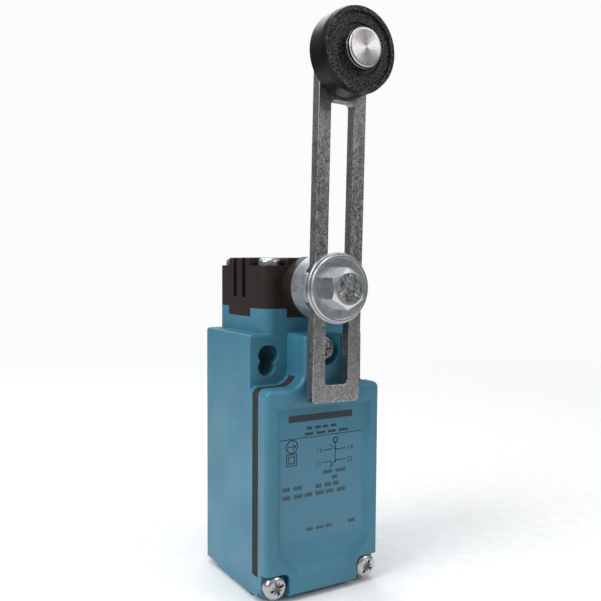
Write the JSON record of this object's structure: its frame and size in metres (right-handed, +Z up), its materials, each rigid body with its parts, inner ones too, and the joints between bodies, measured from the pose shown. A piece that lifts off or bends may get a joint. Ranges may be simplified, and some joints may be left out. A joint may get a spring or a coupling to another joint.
{
  "type": "limit switch",
  "caption": "Side-rotary limit switch: metal box with slotted mounting ears, square head, turning shaft, length-adjustable slotted lever with roller, and a double-break contact block inside.",
  "frame": {"origin": "on the rear mounting face, midway between the centres of the two upper mounting slots", "axes": "+X to the right seen from the cover side, +Y out of the rear mounting face, +Z up towards the head and the roller; the cover faces -Y"},
  "size_m": [0.0306, 0.0446, 0.1304],
  "materials": {
    "blue_paint_housing": "semi-gloss enamel over zinc die casting",
    "blue_paint_cover": "semi-gloss enamel over zinc die casting",
    "gasket_rubber": "matt nitrile",
    "zinc_screws": "zinc plated",
    "head_plastic": "moulded glass-filled plastic",
    "bronze": "sintered bronze",
    "spring_steel": "blackened spring steel",
    "ground_steel": "ground",
    "cam_steel": "sintered steel",
    "white_plastic": "acetal",
    "cast_zinc": "bare zinc die casting",
    "zinc_plate": "zinc plated sheet",
    "zinc_bolt": "zinc plated",
    "roller_plastic": "fine-grained nylon",
    "turned_steel": "turned",
    "block_plastic": "thermoset moulding",
    "block_cover_plastic": "polycarbonate",
    "contact_brass": "stamped brass",
    "silver_tips": "silver alloy"
  },
  "bodies": {
    "case": {"housing": "blue_paint_housing", "cover": "blue_paint_cover", "cover_gasket": "gasket_rubber", "cover_screws": "zinc_screws", "head_body": "head_plastic", "head_oring": "gasket_rubber", "head_screws": "zinc_screws", "shaft_bush": "bronze", "shaft_seal": "gasket_rubber", "plunger_guide": "white_plastic", "plunger_seal": "gasket_rubber", "return_spring": "spring_steel", "block_case": "block_plastic", "block_cover": "block_cover_plastic", "fixed_contacts": "silver_tips", "block_spring": "spring_steel", "terminal_21": "contact_brass", "terminal_22": "contact_brass", "terminal_13": "contact_brass", "terminal_14": "contact_brass", "terminal_screws": "zinc_screws", "clamp_washers": "zinc_screws", "block_screws": "zinc_screws", "earth_washer": "zinc_screws", "earth_screw": "zinc_screws"},
    "shaft": {"operating_shaft": "ground_steel", "shaft_clip": "spring_steel", "cam": "cam_steel", "cam_pin": "ground_steel", "lever_hub": "cast_zinc", "lock_washer": "zinc_plate", "flat_washer": "zinc_plate", "lever_bolt": "zinc_bolt"},
    "lever": {"lever_plate": "zinc_plate", "roller_pin": "turned_steel", "roller_washer": "zinc_plate"},
    "roller": {"roller": "roller_plastic"},
    "head_plunger": {"head_plunger": "white_plastic"},
    "contact_carrier": {"block_plunger": "white_plastic", "bridge_nc": "contact_brass", "bridge_no": "contact_brass", "moving_contacts": "silver_tips", "contact_springs": "spring_steel"}
  },
  "joints": [
    {"name": "shaft_turn", "type": "hinge", "parent": "case", "child": "shaft", "pos_m": [0, -0.0125, 0.01545], "axis": [0, 1, 0], "range_deg": [-75, 75], "stiffness_Nm_per_rad": 0.15},
    {"name": "lever_slide", "type": "slide", "parent": "shaft", "child": "lever", "axis": [0.0175, 0, 0.9998], "range_m": [-0.033, 0.018]},
    {"name": "roller_spin", "type": "hinge", "parent": "lever", "child": "roller", "pos_m": [0.00138, -0.0397, 0.06583], "axis": [0, 1, 0], "continuous": true},
    {"name": "plunger_press", "type": "slide", "parent": "case", "child": "head_plunger", "axis": [0, 0, -1], "range_m": [0, 0.002], "deforming": ["return_spring"]},
    {"name": "carrier_press", "type": "slide", "parent": "case", "child": "contact_carrier", "axis": [0, 0, -1], "range_m": [0, 0.002], "deforming": ["block_spring"]}
  ],
  "couplings": [
    {"joint": "carrier_press", "follows": "plunger_press", "ratio": 1}
  ]
}
